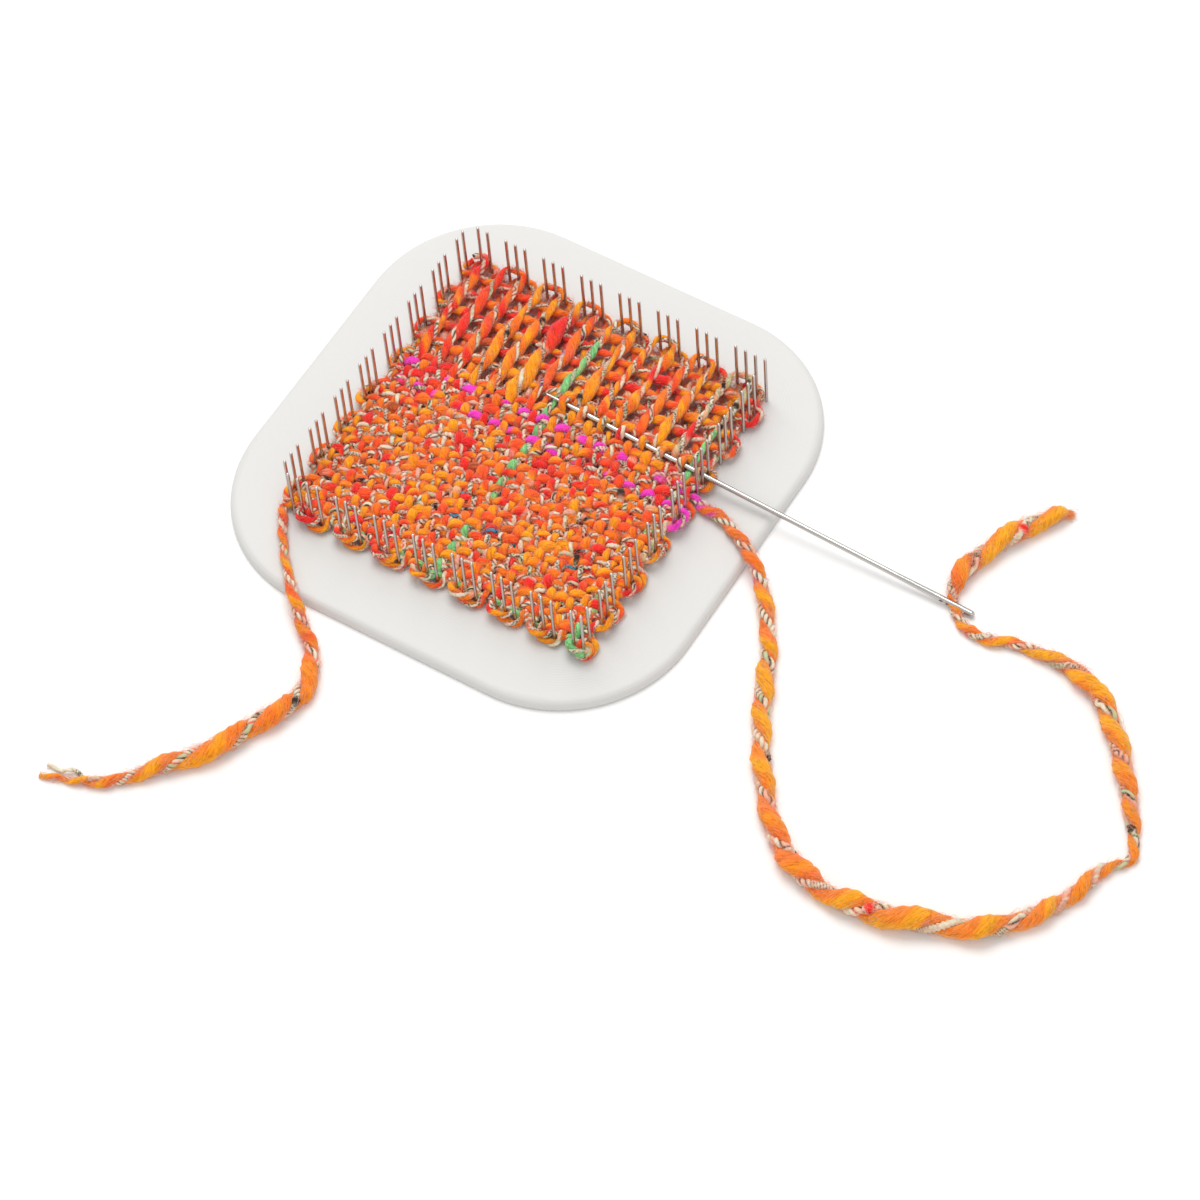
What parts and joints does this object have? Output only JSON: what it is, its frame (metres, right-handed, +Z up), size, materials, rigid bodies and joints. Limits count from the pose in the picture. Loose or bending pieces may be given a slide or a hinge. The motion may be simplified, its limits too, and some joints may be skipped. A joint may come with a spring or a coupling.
{
  "type": "pin loom",
  "caption": "Small square pin loom: rounded plate with steel pins, a half-woven yarn square, and a steel weaving needle threaded with the working yarn.",
  "frame": {"origin": "centre of the plate's underside, which rests on the table", "axes": "+Z up out of the plate, +X along the front row of pins towards the side that the needle comes out of, +Y from the front row to the back row"},
  "size_m": [0.2797, 0.2274, 0.0227],
  "materials": {
    "plate": "matte off-white moulded plastic",
    "pins": "bright drawn steel wire with domed tips",
    "needle": "polished nickel-plated steel",
    "loom_yarn": "soft thick-and-thin wool ply in oranges and reds with a fine multicoloured binder",
    "free_yarn": "the same thick-and-thin yarn, lying loose"
  },
  "bodies": {
    "loom": {"base_plate": "plate", "first_layer_strands": "loom_yarn", "front_loops": "loom_yarn", "left_loops": "loom_yarn", "pins_back_1": "pins", "pins_back_2": "pins", "pins_back_3": "pins", "pins_back_4": "pins", "pins_back_5": "pins", "pins_back_6": "pins", "pins_back_7": "pins", "pins_back_8": "pins", "pins_front_1": "pins", "pins_front_2": "pins", "pins_front_3": "pins", "pins_front_4": "pins", "pins_front_5": "pins", "pins_front_6": "pins", "pins_front_7": "pins", "pins_front_8": "pins", "pins_left_1": "pins", "pins_left_2": "pins", "pins_left_3": "pins", "pins_left_4": "pins", "pins_left_5": "pins", "pins_left_6": "pins", "pins_left_7": "pins", "pins_left_8": "pins", "pins_right_1": "pins", "pins_right_2": "pins", "pins_right_3": "pins", "pins_right_4": "pins", "pins_right_5": "pins", "pins_right_6": "pins", "pins_right_7": "pins", "pins_right_8": "pins", "right_loops": "loom_yarn", "second_layer_strands": "loom_yarn", "start_tail": "free_yarn", "third_layer_strands": "loom_yarn", "working_yarn": "free_yarn", "woven_cloth": "loom_yarn"},
    "needle": {"needle": "needle", "eye_yarn": "free_yarn", "working_yarn_return": "free_yarn", "working_yarn_end": "free_yarn"}
  },
  "joints": [
    {"name": "needle_slide", "type": "slide", "parent": "loom", "child": "needle", "axis": [-0.9972, 0, 0.075], "range_m": [0, 0.06], "deforming": ["working_yarn"]}
  ]
}
